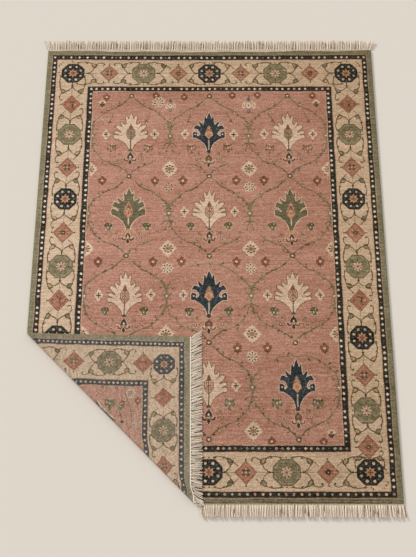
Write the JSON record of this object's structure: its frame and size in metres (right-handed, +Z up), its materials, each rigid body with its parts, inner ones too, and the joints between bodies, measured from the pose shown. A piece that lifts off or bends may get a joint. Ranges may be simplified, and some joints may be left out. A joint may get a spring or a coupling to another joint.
{
  "type": "hand-knotted rug",
  "caption": "Flat hand-knotted wool rug with overcast sides, headings and cotton fringe at both ends, one corner folded over to show its back",
  "frame": {"origin": "on the floor, under the middle of the rug with its fringe", "axes": "+X across the rug to its right side, +Y along it to the far end, +Z up"},
  "size_m": [1.7256, 2.514, 0.024],
  "materials": {
    "knotted_wool": "short clipped wool pile",
    "overcast_wool": "matt overcast wool",
    "cotton_fringe": "matt undyed cotton"
  },
  "bodies": {
    "root": {"rug": "knotted_wool", "selvedge_left": "overcast_wool", "selvedge_right": "overcast_wool", "fringe_far": "cotton_fringe", "fringe_near": "cotton_fringe", "fringe_turned": "cotton_fringe"}
  },
  "joints": []
}
